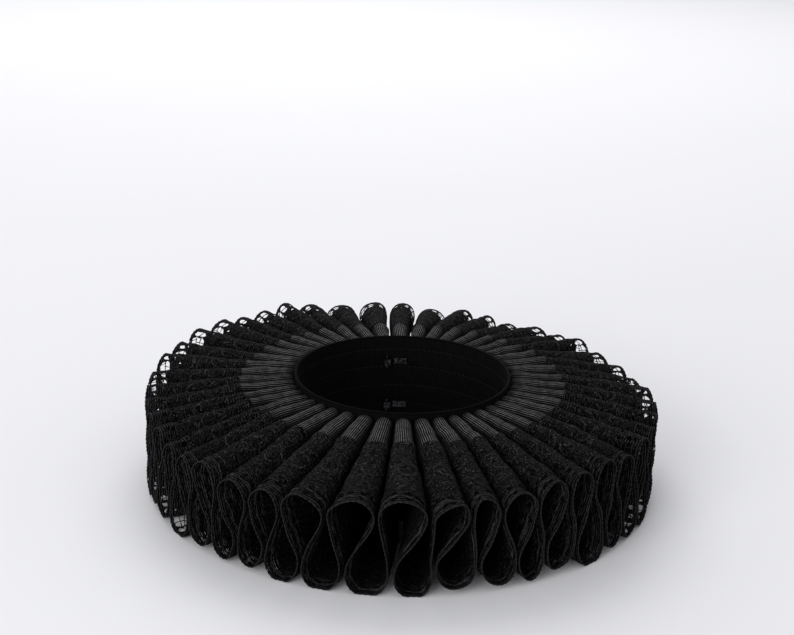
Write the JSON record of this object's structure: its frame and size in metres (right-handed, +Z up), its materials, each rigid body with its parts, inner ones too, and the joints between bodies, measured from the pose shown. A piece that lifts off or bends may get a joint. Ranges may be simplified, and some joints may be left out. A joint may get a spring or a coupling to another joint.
{
  "type": "ruff collar",
  "caption": "Round figure-eight ruff collar of black ribbed ribbon and lace, folded into deep tubes round a neckband, lying flat.",
  "frame": {"origin": "middle of the neck opening, on the surface that the ruff lies on", "axes": "+Z up along the neck, -Y towards the front, where the picture's camera stands, +Y towards the closing at the back"},
  "size_m": [0.31, 0.31, 0.068],
  "materials": {
    "ribbon": "ribbed ribbon with a soft satin light on its ribs",
    "lace": "dense matt cotton lace with a corded openwork border",
    "band": "matt woven tape",
    "catch": "blackened metal, semi-gloss"
  },
  "bodies": {
    "root": {"ribbon_ruffle": "ribbon", "lace_left": "lace", "lace_right": "lace", "neckband": "band", "hook_upper": "catch", "hook_lower": "catch", "bar_upper": "catch", "bar_lower": "catch"}
  },
  "joints": []
}
